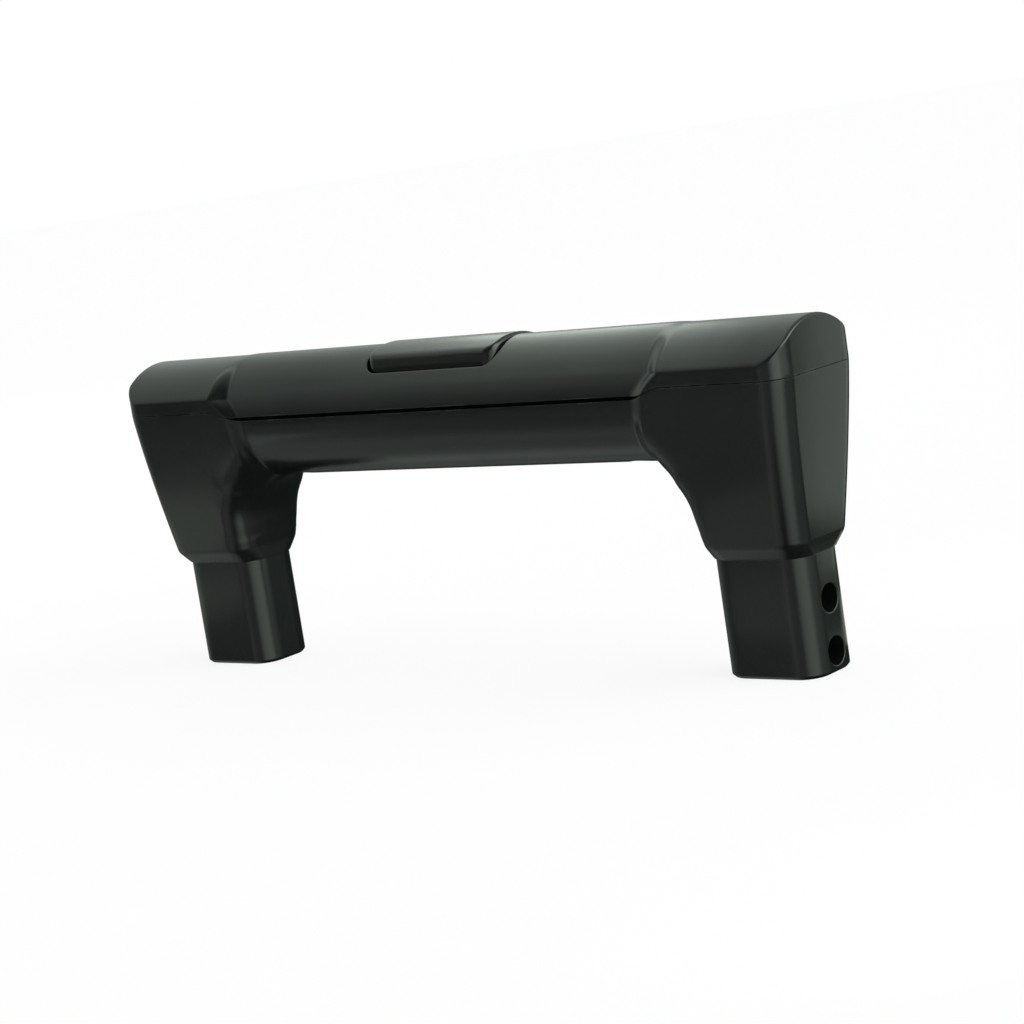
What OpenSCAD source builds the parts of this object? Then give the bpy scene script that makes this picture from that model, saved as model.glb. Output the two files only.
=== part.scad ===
// Pull handle for the top of a telescopic luggage frame.
// A moulded lower body carries the legs and plugs, and a moulded cover closes it from above.
// The button in the cover presses a linkage bar, which pushes one rod down through each leg.
// X runs along the grip, Y from front to back, Z up. The origin lies midway between the plug ends.

/* [Grip bar] */
// Depth of the round bar, front to back
bar_depth = 22; // [21:0.5:24]
// Height of the round bar
bar_height = 24; // [23:0.5:26]
// Length of the straight round stretch of the bar
grip_straight = 93.5; // [90:0.5:95]
// Length over which the round bar turns into a corner block
blend_length = 4.2; // [3:0.1:5]
// How much further out this blend lies at the crease of the cover than at the parting line
blend_lean = 3.7; // [2:0.1:4.5]
// Height of the hand opening, from the plug ends to the underside of the bar
hand_height = 37.4; // [35:0.2:42]
// Width of the hand opening between the legs
hand_width = 108; // [105:0.5:109]
// Radius of the arch where the bar meets a leg
arch_radius = 9; // [5:0.5:9.5]

/* [Corner blocks and legs] */
// Length of the handle over its end faces
overall_length = 158; // [156:1:166]
// Depth of the corner blocks, front to back
corner_depth = 24.2; // [23.4:0.2:27]
// Radius of the crown across the corner blocks
crown_radius = 14.5; // [14:0.5:20]
// How far the crown of the corner blocks lies below the crest of the bar
crown_drop = 0.2; // [0:0.1:1]
// Radius of the upright edges
edge_radius = 4.4; // [3:0.2:5]
// Radius of the rim between the crown and an end face
crown_rim = 0.6; // [0.3:0.1:1]
// How far the foot of a leg stands out over the outer face of its plug
foot_step_outer = 1; // [0.4:0.1:1.6]
// How far the foot of a leg stands out over the inner face of its plug
foot_step_inner = 0.3; // [0.3:0.1:0.9]
// How far the foot of a leg stands out over the front and back of its plug
foot_step_side = 2.2; // [1:0.1:3]
// Height of the sloping shoulder under the foot
shoulder_height = 2.4; // [1.2:0.1:3.2]
// Width of the flat ledge between the shoulder and the plug
ledge = 0.3; // [0.1:0.1:0.3]

/* [Plugs] */
// Distance between the centres of the two plugs
plug_spacing = 130; // [129:0.5:132]
// Width of a plug, along the grip
plug_width = 19.6; // [18.6:0.2:20.4]
// Depth of a plug, front to back
plug_depth = 13.4; // [12:0.2:15]
// Length of a plug, which is how far it enters its tube
plug_length = 21; // [18:0.5:24]
// Radius of the upright edges of a plug
plug_corner = 4.5; // [2:0.25:5.5]
// Chamfer round the end of a plug
plug_lead = 0.6; // [0.3:0.1:1]
// Diameter of the two fixing holes in the outer face of a plug
hole_diameter = 5; // [4:0.1:5.6]
// Depth of a fixing hole
hole_depth = 6; // [4:0.25:6.5]
// Height of the lower fixing hole above the plug end
hole_height = 3.7; // [3.5:0.1:5]
// Distance between the two fixing holes of a plug
hole_spacing = 9.2; // [7:0.1:11]

/* [Shells] */
// Wall thickness of the mouldings
wall = 2.2; // [1.8:0.1:2.5]
// Height of the parting line above the middle of the bar
parting_rise = 0.5; // [0.2:0.1:1.5]
// How far the parting line steps up from the bar to the corner blocks
parting_step = 2; // [0.5:0.1:2.4]

/* [Button] */
// Length of the button along the grip
button_length = 31; // [27:0.5:34]
// Width of the button at its foot, front to back
button_width = 16.6; // [15:0.2:17]
// How far each long side of the button leans inwards towards its top
button_lean = 0.3; // [0.1:0.1:0.8]
// Radius of the crown across the button
button_crown = 22; // [18:0.5:28]
// How far the button stands above the crest of the bar
button_rise = 0.9; // [0.4:0.1:1.6]
// Radius of the corners of the button in plan
button_corner = 2.5; // [1.5:0.1:3.5]
// Radius of the rim round the top of the button
button_rim = 0.5; // [0.3:0.1:0.8]
// Gap all round the button
button_gap = 0.5; // [0.4:0.05:0.8]
// How far the button can be pressed
button_travel = 4; // [3:0.25:4.25]
// Wall thickness of the button
button_wall = 1.6; // [1.2:0.1:2]
// Length of the retaining tab at each end of the button, under the cover
tab_length = 2.4; // [1.5:0.1:3]
// Width of a retaining tab
tab_width = 6; // [4:0.25:7]

/* [Linkage bar] */
// Width of the linkage bar over its slotted middle
link_width = 14; // [13:0.2:14.4]
// Width of the linkage bar at its ends
link_end_width = 10; // [8:0.5:12]
// Height of the linkage bar
link_height = 4; // [3:0.25:4.5]
// How far the top of the linkage bar lies above the middle of the bar
link_rise = 4.1; // [3.6:0.1:4.6]
// How far the linkage bar runs past the middle of each rod
link_overhang = 5; // [4:0.25:6]
// Distance from the middle of the button to each of its snap legs
snap_offset = 10; // [8:0.25:11.5]

/* [Rods] */
// Diameter of a push rod
rod_diameter = 4; // [3:0.1:4.4]
// Clearance round a rod in its guide
rod_clearance = 0.3; // [0.2:0.05:0.4]
// Height of the tip of a resting rod above the plug end
rod_recess = 5.5; // [4.5:0.25:9]

/* [Return springs] */
// Distance from the middle of the grip to each spring
spring_offset = 28; // [22:0.5:32]
// Outer diameter of a spring
spring_diameter = 7.4; // [6.6:0.1:7.8]
// Wire diameter of a spring
spring_wire = 0.8; // [0.6:0.05:0.85]
// Number of turns of a spring
spring_turns = 4; // [3.5:0.25:4.25]

/* [Cover screws] */
// Distance from the middle of the grip to each cover screw
screw_offset = 41; // [39:0.25:42]
// Diameter of a screw
screw_diameter = 3; // [2.5:0.1:3.2]
// Diameter of a screw head
head_diameter = 5.6; // [5:0.1:6]
// Height of a screw head
head_height = 2; // [1.4:0.1:2.2]
// How far a screw bites into the boss of the cover
screw_bite = 9; // [6:0.5:11]
// Clearance round a screw head and a screw shank
screw_clearance = 0.4; // [0.2:0.05:0.5]
// Wall round a screw in the bosses
boss_wall = 1.7; // [1.2:0.1:1.9]

/* [Hidden] */
$fn = 48;

// Room left between pieces that slide past each other
running_gap = 0.3;
// Extra length that takes a cut clear through a face
over = 1;

// Heights of the main levels
bar_mid = hand_height + bar_height / 2;
crest = hand_height + bar_height;
crown = crest - crown_drop;
parting = bar_mid + parting_rise;
block_parting = parting + parting_step;
foot = plug_length + shoulder_height;
link_top = bar_mid + link_rise;
link_bottom = link_top - link_height;
link_pressed = link_bottom - button_travel;
button_foot = link_top + 4 * running_gap;
button_top = crest + button_rise;

// Plan positions of the legs
half_length = overall_length / 2;
plug_x = plug_spacing / 2;
foot_outer = plug_x + plug_width / 2 + foot_step_outer;
foot_inner = plug_x - plug_width / 2 - foot_step_inner;
foot_y = plug_depth / 2 + foot_step_side;
corner_y = corner_depth / 2;

// Arch between a leg and the bar
arch_x = hand_width / 2 - arch_radius;
arch_z = hand_height - arch_radius;
bar_end = min(grip_straight / 2, arch_x);
block_start = grip_straight / 2 + blend_length + blend_lean;

// Inside of the bar
bore_y = bar_depth / 2 - wall;
bore_z = bar_height / 2 - wall;

// Steps of the sections: the angles of an inner edge, and counts across a face, an edge and a blend
edge_angles = [for (i = [0:8]) mix(6, 90, i / 8)];
face_steps = 3;
outer_steps = 6;
blend_steps = 14;

// Blending functions
function mix(a, b, t) = a + (b - a) * t;
function clamp(t) = min(1, max(0, t));
function smooth(t) = let (c = clamp(t)) c * c * (3 - 2 * c);

// Share of the corner block in the section of the bar at a distance x from the middle.
// The lift runs from 0 at the parting line to 1 at the crease of the cover.
function blend(x, lift) = smooth((x - grip_straight / 2 - blend_lean * lift) / blend_length);

// Height of the parting line at a distance x from the middle
function seam(x) = let (share = (x - grip_straight / 2) / (blend_length + blend_lean))
    mix(parting, block_parting, smooth(share));

// Places of the sections through the blend, which both mouldings share
blend_x = [for (i = [0:blend_steps]) mix(block_start, min(bar_end, arch_x), i / blend_steps)];

// Share of the way up a leg, from its foot to the parting line
function up_leg(z) = clamp((z - foot) / (block_parting - foot));

// Faces of a leg at height z: the front and back curve in, the outer face runs straight
function face_y(z) = mix(corner_y, foot_y, pow(1 - up_leg(z), 1.5));
function outer_x(z) = mix(foot_outer, half_length, up_leg(z));
function inner_x(z) = mix(foot_inner, hand_width / 2, clamp((z - foot) / (arch_z - foot)));

// What an upright edge of radius r takes off the half depth at a distance d from the outer face
function round_off(d, r) = d >= r ? 0 : r - sqrt(max(0, r * r - (r - d) * (r - d)));

// Half depth of a leg at x and z, with its outer edge rounded
function leg_half(x, z) = face_y(z) - round_off(max(0, outer_x(z) - x), edge_radius);

// Half depth of the round bar at a height z, and the height of its surface at a depth y
function bar_half(z) = bar_depth / 2 * sqrt(max(0, 1 - pow((z - bar_mid) / (bar_height / 2), 2)));
function bar_surface(y) = bar_mid + bar_height / 2 * sqrt(max(0, 1 - pow(y / (bar_depth / 2), 2)));
function bore_surface(y) = bar_mid + bore_z * sqrt(max(0, 1 - pow(y / bore_y, 2)));

// Height of a crown of radius r and top z at a depth y
function crown_height(y, r, top) = top - r + sqrt(r * r - y * y);

// Joins the front half of a ring, given as [x, half depth, z], to its mirror image at the back
function whole_ring(half) = concat(
    [for (p = half) [p.x, -p.y, p.z]],
    [for (i = [len(half) - 1:-1:0]) half[i]]);

// Half depth that the round bar would have at a share s of the way up a ring that ends at a height top
function round_half(s, top) = bar_half(mix(hand_height, top, s));

// Ring round a leg or the bar, from the inner point a to the outer point b, both as [x, z].
// A share is 1 for a leg and 0 for the round bar. It runs from inner_w at a to w at b, and psi is
// where b lies on the outer edge.
function leg_ring(a, b, inner_w, w, psi) = let (
    start = edge_radius / norm(b - a),
    inner = [for (t = edge_angles) let (
        s = (1 - cos(t)) * start,
        p = mix(a, b, s),
        leg_share = mix(inner_w, w, smooth(s / start / 2)),
        y = mix(round_half(s, b.y), face_y(p.y) - edge_radius * (1 - sin(t)), leg_share)
        ) [p.x, y, p.y]],
    run = face_steps + outer_steps + 1,
    outer = [for (k = [1:run]) let (
        turn = mix(90, psi, (k - face_steps - 1) / outer_steps),
        x = outer_x(b.y) - edge_radius * (1 - cos(max(psi, min(90, turn)))),
        share = (x - a.x) / (b.x - a.x),
        s = psi >= 90 ? mix(start, 1, k / run)
            : k > face_steps ? share : mix(start, share, k / (face_steps + 1)),
        p = mix(a, b, s),
        leg_share = mix(inner_w, w, smooth(s / start / 2)),
        y = mix(round_half(s, b.y), leg_half(p.x, p.y), leg_share)
        ) [p.x, y, p.y]]
    ) whole_ring(concat(inner, outer));

// Ring round a plug or its ledge at height z, grown by g on every side
function plug_ring(z, g) = let (
    r = plug_corner + g,
    x0 = plug_x - plug_width / 2 - g,
    x1 = plug_x + plug_width / 2 + g,
    y = plug_depth / 2 + g
    ) whole_ring(concat(
        [for (t = edge_angles) [x0 + r * (1 - cos(t)), y - r * (1 - sin(t)), z]],
        [for (k = [1:face_steps]) [mix(x0 + r, x1 - r, k / (face_steps + 1)), y, z]],
        [for (i = [0:outer_steps]) let (t = mix(90, 0, i / outer_steps))
            [x1 - r * (1 - cos(t)), y - r * (1 - sin(t)), z]]));

// Point of the arch at an angle up from the leg, as [x, z]
function arch_point(angle) = [arch_x + arch_radius * cos(angle), arch_z + arch_radius * sin(angle)];

// Angles on the arch that belong to the end face, to the end of the outer edge and to the block
corner_angle = 34;
edge_angle = 44;
block_angle = 56;

// Angle on the arch that belongs to a distance x along the parting line
function blend_angle(x) = mix(90, block_angle, (x - arch_x) / (block_start - arch_x));

// Inner point of the blend at a distance x along the parting line
function blend_inner(x) = x <= arch_x ? [x, hand_height] : arch_point(blend_angle(x));

// Share of the leg in the underside at an angle on the arch
function inner_share(angle) = smooth((90 - angle) / (90 - corner_angle));

// Rings of the right half of the lower body, from the plug end to the straight bar
lower_half = concat(
    [plug_ring(0, -plug_lead), plug_ring(plug_lead, 0), plug_ring(plug_length, 0),
     plug_ring(plug_length, ledge)],
    [for (i = [0:2]) let (z = mix(foot, arch_z, i / 3))
        leg_ring([inner_x(z), z], [outer_x(z), z], 1, 1, 0)],
    [for (i = [0:5]) let (z = mix(arch_z, block_parting, i / 5))
        leg_ring(arch_point(corner_angle * i / 5), [outer_x(z), z], 1, 1, 0)],
    [for (i = [1:outer_steps]) let (
        psi = 90 * i / outer_steps,
        angle = mix(corner_angle, edge_angle, i / outer_steps))
        leg_ring(arch_point(angle), [half_length - edge_radius * (1 - cos(psi)), block_parting],
                 inner_share(angle), 1, psi)],
    [for (i = [1:2]) let (angle = mix(edge_angle, block_angle, i / 3))
        leg_ring(arch_point(angle), [mix(half_length - edge_radius, block_start, i / 3), block_parting],
                 inner_share(angle), 1, 90)],
    [for (x = blend_x)
        leg_ring(blend_inner(x), [x, seam(x)], inner_share(blend_angle(max(arch_x, x))), blend(x, 0), 90)]);

// Half section of the cover at x, from the parting line at the back up to the crest, as [y, z].
// The lip below the crease has four steps and the crown above it has eight.
lip_steps = 4;
crown_steps = 8;
crease_angle = 26;
function cover_half(x, half_y) = let (
    lip_angle = asin((seam(x) - bar_mid) / (bar_height / 2)),
    top_z = crown - round_off(half_length - x, crown_rim),
    crease = crown_height(half_y, crown_radius, top_z),
    sweep = asin(half_y / crown_radius),
    lip = [for (i = [0:lip_steps]) let (
        t = mix(lip_angle, crease_angle, i / lip_steps),
        round_p = [bar_depth / 2 * cos(t), bar_mid + bar_height / 2 * sin(t)],
        block_p = [half_y, mix(seam(x), crease, i / lip_steps)]
        ) mix(round_p, block_p, blend(x, i / lip_steps))],
    top = [for (i = [1:crown_steps]) let (
        t = mix(crease_angle, 90, i / crown_steps),
        a = mix(sweep, 0, i / crown_steps),
        round_p = [bar_depth / 2 * cos(t), bar_mid + bar_height / 2 * sin(t)],
        block_p = [crown_radius * sin(a), crown_height(crown_radius * sin(a), crown_radius, top_z)]
        ) mix(round_p, block_p, blend(x, 1))]
    ) concat(lip, top);

// Whole section at x from its half, which ends at the crest
function section(x, half) = concat(
    [for (p = half) [x, p.x, p.y]],
    [for (i = [len(half) - 2:-1:0]) [x, -half[i].x, half[i].y]]);

// Sections of the right half of the cover, from the straight bar to the end face
cover_right = concat(
    [for (i = [blend_steps:-1:0]) let (x = blend_x[i])
        section(x, cover_half(x, corner_y))],
    [for (i = [outer_steps:-1:0]) let (
        psi = 90 * i / outer_steps,
        x = half_length - edge_radius * (1 - cos(psi)))
        section(x, cover_half(x, corner_y - edge_radius * (1 - sin(psi))))]);

// Half section of the button at a distance d from its end: an upright foot, a leaning side with a
// rounded rim, and a crown that drops at the rim of the end
button_half_y = button_width / 2;
button_shoulder = bar_surface(button_half_y);
function button_half(d, half_y) = let (
    top_z = button_top - round_off(d, button_rim),
    edge_y = half_y - button_lean,
    edge = [edge_y, crown_height(edge_y, button_crown, top_z)],
    below = mix(edge, [half_y, button_shoulder], button_rim / (edge.y - button_shoulder)),
    beside = [edge_y - button_rim, crown_height(edge_y - button_rim, button_crown, top_z)],
    sweep = asin(beside.x / button_crown)
    ) concat(
        [[half_y, button_foot], [half_y, button_shoulder]],
        [for (t = [0, 0.5]) mix(mix(below, edge, t), mix(edge, beside, t), t)],
        [for (i = [0:crown_steps]) let (y = button_crown * sin(mix(sweep, 0, i / crown_steps)))
            [y, crown_height(y, button_crown, top_z)]]);

// Sections of the right half of the button, from its middle to its end
button_right = [for (i = [outer_steps:-1:0]) let (
    psi = 90 * i / outer_steps,
    d = button_corner * (1 - cos(psi)))
    section(button_length / 2 - d, button_half(d, button_half_y - button_corner * (1 - sin(psi))))];

// Mirrors a list of rings in the middle plane of the handle
function mirrored(rings) = [for (i = [len(rings) - 1:-1:0]) [for (p = rings[i]) [-p.x, p.y, p.z]]];

// Closed skin through a list of rings with equal counts of points
module skin(rings) {
    n = len(rings[0]);
    m = len(rings);
    sides = [for (i = [0:m - 2], j = [0:n - 1]) let (k = (j + 1) % n) each [
        [i * n + j, (i + 1) * n + j, (i + 1) * n + k],
        [i * n + j, (i + 1) * n + k, i * n + k]]];
    mid = floor(n / 2);
    caps = [[for (j = [0:n - 1]) (j + mid) % n], [for (j = [n:-1:1]) (m - 1) * n + (j + mid) % n]];
    polyhedron([for (r = rings) each r], concat(sides, caps));
}

// Prism along X from x0 to x1 with a section drawn in Y and Z
module along_x(x0, x1) {
    translate([x0, 0, 0])
        rotate([90, 0, 90])
            linear_extrude(x1 - x0)
                children();
}

// Repeats its children on the left and right of the handle
module both_sides(offset) {
    for (side = [-1, 1])
        translate([side * offset, 0, 0])
            children();
}

// Outline of the hollow inside the round bar
module bar_bore() {
    polygon([for (t = [0:7.5:352.5]) [bore_y * cos(t), bar_mid + bore_z * sin(t)]]);
}

// Outline of a rectangle with rounded corners, as points
function rounded(x0, x1, y, r) = concat(
    [for (t = [180:15:270]) [x0 + r + r * cos(t), -y + r + r * sin(t)]],
    [for (t = [270:15:360]) [x1 - r + r * cos(t), -y + r + r * sin(t)]],
    [for (t = [0:15:90]) [x1 - r + r * cos(t), y - r + r * sin(t)]],
    [for (t = [90:15:180]) [x0 + r + r * cos(t), y - r + r * sin(t)]]);

// Hollow of the right leg, a wall inside its faces from the foot to the parting line
leg_floor = foot + wall / 2;
module leg_hollow() {
    levels = [leg_floor, arch_z, mix(arch_z, block_parting, 0.5), block_parting + over];
    skin([for (z = levels)
        [for (p = rounded(inner_x(z) + wall, outer_x(z) - wall, face_y(z) - wall, wall))
            [p.x, p.y, z]]]);
}

// Levels and sizes of the screw posts and spring seats
head_hole = head_diameter + 2 * screw_clearance;
shank_hole = screw_diameter + screw_clearance;
boss_diameter = screw_diameter + 2 * boss_wall;
post_diameter = head_hole + boss_wall + screw_clearance;
bar_floor = hand_height + wall;
screw_seat = bar_floor + 0.7 * wall;
post_top = link_pressed - 3 * running_gap;
spring_seat = bar_floor + 0.6 * wall;
spring_peg = spring_diameter - 2 * spring_wire - 4 * running_gap;
peg_height = 4 * running_gap;
lower_peg_top = link_pressed - peg_height - 2 * running_gap;
rod_guide = rod_diameter + 2 * rod_clearance;

// Lower body: legs and plugs in one moulding with the under half of the bar
module lower_body() {
    color("#24292a")
        difference() {
            union() {
                difference() {
                    skin(concat(lower_half, mirrored(lower_half)));
                    along_x(-block_start - wall, block_start + wall)
                        bar_bore();
                    leg_hollow();
                    mirror([1, 0, 0])
                        leg_hollow();
                }
                both_sides(screw_offset)
                    translate([0, 0, bar_floor - wall / 4])
                        cylinder(d = post_diameter, h = post_top - bar_floor + wall / 4);
                both_sides(spring_offset) {
                    translate([0, 0, bar_floor - wall / 4])
                        cylinder(d = spring_diameter + 2 * running_gap,
                                 h = spring_seat - bar_floor + wall / 4);
                    translate([0, 0, spring_seat - wall / 4])
                        cylinder(d = spring_peg, h = lower_peg_top - spring_seat + wall / 4);
                }
            }
            both_sides(screw_offset) {
                translate([0, 0, hand_height - over])
                    cylinder(d = head_hole, h = screw_seat - hand_height + over);
                translate([0, 0, screw_seat - over])
                    cylinder(d = shank_hole, h = post_top - screw_seat + 2 * over);
            }
            both_sides(plug_x)
                translate([0, 0, -over])
                    cylinder(d = rod_guide, h = leg_floor + 2 * over);
            for (side = [0, 1], level = [0, 1])
                mirror([side, 0, 0])
                    translate([plug_x + plug_width / 2 - hole_depth, 0, hole_height + level * hole_spacing])
                        rotate([0, 90, 0])
                            cylinder(d = hole_diameter, h = hole_depth + over);
        }
}

// Hollow of the corner block at the right end of the cover
module corner_hollow() {
    inner_y = corner_y - wall;
    inner_r = crown_radius - wall;
    sweep = asin(inner_y / inner_r);
    base = crown - crown_radius;
    along_x(block_start, half_length - wall)
        polygon(concat(
            [[-inner_y, parting - over]],
            [for (i = [0:12]) let (a = mix(-sweep, sweep, i / 12))
                [inner_r * sin(a), base + inner_r * cos(a)]],
            [[inner_y, parting - over]]));
}

// Cover: the upper half of the bar and corner blocks, with the opening for the button
module upper_cover() {
    open_x = button_length / 2 + button_gap;
    open_y = button_width / 2 + button_gap;
    color("#2a2f30")
        difference() {
            union() {
                difference() {
                    skin(concat(mirrored(cover_right), cover_right));
                    along_x(-block_start - wall, block_start + wall)
                        bar_bore();
                    corner_hollow();
                    mirror([1, 0, 0])
                        corner_hollow();
                    translate([0, 0, parting - over])
                        linear_extrude(crest - parting + 2 * over)
                            polygon(rounded(-open_x, open_x, open_y, button_corner + button_gap));
                }
                both_sides(screw_offset)
                    translate([0, 0, post_top])
                        cylinder(d = boss_diameter, h = crest - wall / 2 - post_top);
            }
            both_sides(screw_offset)
                translate([0, 0, post_top - over])
                    cylinder(d = screw_diameter, h = screw_bite + 2 * over);
        }
}

// Places of the snap legs and the sizes of their slots
snap_thick = 2;
snap_width = 4;
snap_hook = 0.7;

// Button: a crowned pad with a hollow underside, retaining tabs and two snap legs
module release_button() {
    pocket_x = button_length / 2 - button_wall;
    pocket_y = button_half_y - button_lean - button_wall;
    pocket_top = crown_height(pocket_y, button_crown, button_top) - button_wall;
    tab_top = bore_surface(tab_width / 2) - running_gap;
    color("#1d2122") {
        difference() {
            skin(concat(mirrored(button_right), button_right));
            translate([-pocket_x, -pocket_y, button_foot - over])
                cube([2 * pocket_x, 2 * pocket_y, pocket_top - button_foot + over]);
        }
        for (side = [-1, 1]) {
            tab_reach = button_wall + tab_length + button_gap;
            tab_x = button_length / 2 - button_wall + tab_reach / 2;
            translate([side * tab_x, 0, tab_top - button_wall / 2])
                cube([tab_reach, tab_width, button_wall], center = true);
            translate([side * snap_offset - snap_thick / 2, -snap_width / 2, link_bottom - 2 * snap_hook])
                cube([snap_thick, snap_width, pocket_top - link_bottom + 3 * snap_hook]);
            translate([side * (snap_offset + snap_thick / 2) - snap_hook, -snap_width / 2,
                       link_bottom - 2 * snap_hook])
                cube([2 * snap_hook, snap_width, 2 * snap_hook]);
        }
        translate([-pocket_x - button_wall / 2, -button_wall / 2, link_top])
            cube([2 * pocket_x + button_wall, button_wall, pocket_top - link_top + button_wall / 2]);
    }
}

// Linkage bar: a flat bar that passes round the screw bosses and carries the rods
module linkage_bar() {
    slot_x = boss_diameter + 6 * running_gap;
    slot_y = boss_diameter + 4 * running_gap;
    wide_half = screw_offset + slot_x / 2 + wall;
    color("#3a3f40") {
        translate([0, 0, link_bottom])
            linear_extrude(link_height)
                difference() {
                    union() {
                        square([2 * wide_half, link_width], center = true);
                        square([plug_spacing + 2 * link_overhang, link_end_width], center = true);
                    }
                    both_sides(screw_offset)
                        square([slot_x, slot_y], center = true);
                    both_sides(snap_offset)
                        square([snap_thick + 2 * running_gap, snap_width + 2 * running_gap], center = true);
                    both_sides(plug_x)
                        circle(d = rod_diameter);
                }
        both_sides(spring_offset)
            translate([0, 0, link_bottom - peg_height])
                cylinder(d = spring_peg, h = peg_height + link_height / 2);
    }
}

// Push rod: a plain steel rod held in the end of the linkage bar
module push_rod(side) {
    color("#9aa0a4")
        translate([side * plug_x, 0, rod_recess])
            cylinder(d = rod_diameter, h = link_top - rod_recess);
}

// Return spring between its seat in the lower body and the linkage bar, with closed end turns
wire_sides = 8;
turn_steps = 20;
end_turns = 0.75;
module return_spring(side) {
    radius = (spring_diameter - spring_wire) / 2;
    rise = link_bottom - spring_seat - spring_wire;
    steps = round(spring_turns * turn_steps);
    dead = end_turns * spring_wire;
    function climb(u) = u < end_turns ? u * spring_wire
        : u > spring_turns - end_turns ? rise - (spring_turns - u) * spring_wire
        : mix(dead, rise - dead, (u - end_turns) / (spring_turns - 2 * end_turns));
    color("#b4b9bc")
        translate([side * spring_offset, 0, spring_seat + spring_wire / 2])
            skin([for (i = [0:steps]) let (u = i / turn_steps, a = 360 * u)
                [for (k = [0:wire_sides - 1]) let (
                    b = 360 * k / wire_sides,
                    r = radius + spring_wire / 2 * cos(b))
                    [r * cos(a), r * sin(a), climb(u) - spring_wire / 2 * sin(b)]]]);
}

// Cover screws: pan heads sunk in the underside of the bar
module cover_screws() {
    color("#8b9094")
        both_sides(screw_offset) {
            translate([0, 0, screw_seat - head_height])
                cylinder(d = head_diameter, h = head_height);
            translate([0, 0, screw_seat - head_height / 2])
                cylinder(d = screw_diameter, h = post_top - screw_seat + screw_bite + head_height / 2);
        }
}

lower_body();
upper_cover();
release_button();
linkage_bar();
push_rod(-1);  // push_rod_left
push_rod(1);  // push_rod_right
return_spring(-1);  // return_spring_left
return_spring(1);  // return_spring_right
cover_screws();
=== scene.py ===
import math

import bmesh
import bpy
from mathutils import Matrix, Vector


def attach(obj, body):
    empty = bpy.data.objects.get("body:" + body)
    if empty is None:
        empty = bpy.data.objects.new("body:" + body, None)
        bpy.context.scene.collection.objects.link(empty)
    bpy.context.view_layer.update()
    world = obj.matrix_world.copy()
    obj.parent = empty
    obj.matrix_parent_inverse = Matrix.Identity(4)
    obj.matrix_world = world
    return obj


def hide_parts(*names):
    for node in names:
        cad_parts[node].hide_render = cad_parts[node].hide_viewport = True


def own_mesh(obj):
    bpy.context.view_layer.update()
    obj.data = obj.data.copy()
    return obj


# Pull handle for the top of a telescopic luggage frame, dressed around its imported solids.
# Sizes are in millimetres, as in the part's source, and each mesh is scaled to metres when it is made.
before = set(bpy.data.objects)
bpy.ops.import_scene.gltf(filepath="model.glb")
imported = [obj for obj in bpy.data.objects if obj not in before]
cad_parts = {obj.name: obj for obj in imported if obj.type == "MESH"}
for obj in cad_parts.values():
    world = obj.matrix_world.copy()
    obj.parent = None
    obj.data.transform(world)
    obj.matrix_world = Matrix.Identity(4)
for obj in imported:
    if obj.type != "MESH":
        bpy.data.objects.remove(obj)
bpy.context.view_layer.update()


# Lower body.
# One black moulding with a gloss finish: the under half of the grip bar, both tapered legs and the
# plugs that enter the tubes. Screw posts, spring seats and rod guides are moulded with it.
bar_depth, bar_height = 22.0, 24.0
hand_height, hand_width, arch_radius = 37.4, 108.0, 9.0
grip_straight, blend_length, blend_lean = 93.5, 4.2, 3.7
half_length, corner_y, edge_radius = 79.0, 12.1, 4.4
plug_x, plug_width, plug_depth, plug_length = 65.0, 19.6, 13.4, 21.0
plug_corner, plug_lead, ledge, shoulder_height = 4.5, 0.6, 0.3, 2.4
seam_edge, plug_edge, shoulder_edge = 0.18, 0.12, 0.45
foot_step_outer, foot_step_inner, foot_step_side = 1.0, 0.3, 2.2
wall, parting_rise, parting_step = 2.2, 0.5, 2.0

bar_mid = hand_height + bar_height / 2
crest = hand_height + bar_height
parting = bar_mid + parting_rise
block_parting = parting + parting_step
foot = plug_length + shoulder_height
foot_outer = plug_x + plug_width / 2 + foot_step_outer
foot_inner = plug_x - plug_width / 2 - foot_step_inner
foot_y = plug_depth / 2 + foot_step_side
arch_x, arch_z = hand_width / 2 - arch_radius, hand_height - arch_radius
bar_end = grip_straight / 2
block_start = bar_end + blend_length + blend_lean
bore_y, bore_z = bar_depth / 2 - wall, bar_height / 2 - wall


def mix(a, b, t):
    return a + (b - a) * t


def steps(count, start=0.0, end=1.0):
    return [mix(start, end, i / count) for i in range(count + 1)]


def clamp(t):
    return min(1.0, max(0.0, t))


def smooth(t):
    return clamp(t) ** 2 * (3 - 2 * clamp(t))


def round_off(d, r):
    """What an edge of radius r takes off a face at a distance d from the other face."""
    return 0.0 if d >= r else r - math.sqrt(max(0.0, r * r - (r - d) ** 2))


def corner_share(x, lift):
    """Share of the corner block in the bar's section, with lift 0 at the parting line and 1 at the crease."""
    return smooth((x - bar_end - blend_lean * lift) / blend_length)


def seam(x):
    """Height of the parting line, which steps up from the bar to the corner blocks."""
    return mix(parting, block_parting, smooth((x - bar_end) / (blend_length + blend_lean)))


def up_leg(z):
    """Share of the way up a leg, from its foot to the parting line."""
    return clamp((z - foot) / (block_parting - foot))


def leg_front(z):
    return mix(corner_y, foot_y, (1 - up_leg(z)) ** 1.5)


def leg_outer(z):
    return mix(foot_outer, half_length, up_leg(z))


def leg_inner(z):
    return mix(foot_inner, hand_width / 2, clamp((z - foot) / (arch_z - foot)))


def bar_half(z):
    """Half depth of the round bar at a height."""
    return bar_depth / 2 * math.sqrt(max(0.0, 1 - ((z - bar_mid) / (bar_height / 2)) ** 2))


def whole_ring(half):
    """Joins the front half of a ring to its mirror image at the back."""
    return [(x, -y, z) for x, y, z in half] + [(x, y, z) for x, y, z in reversed(half)]


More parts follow.
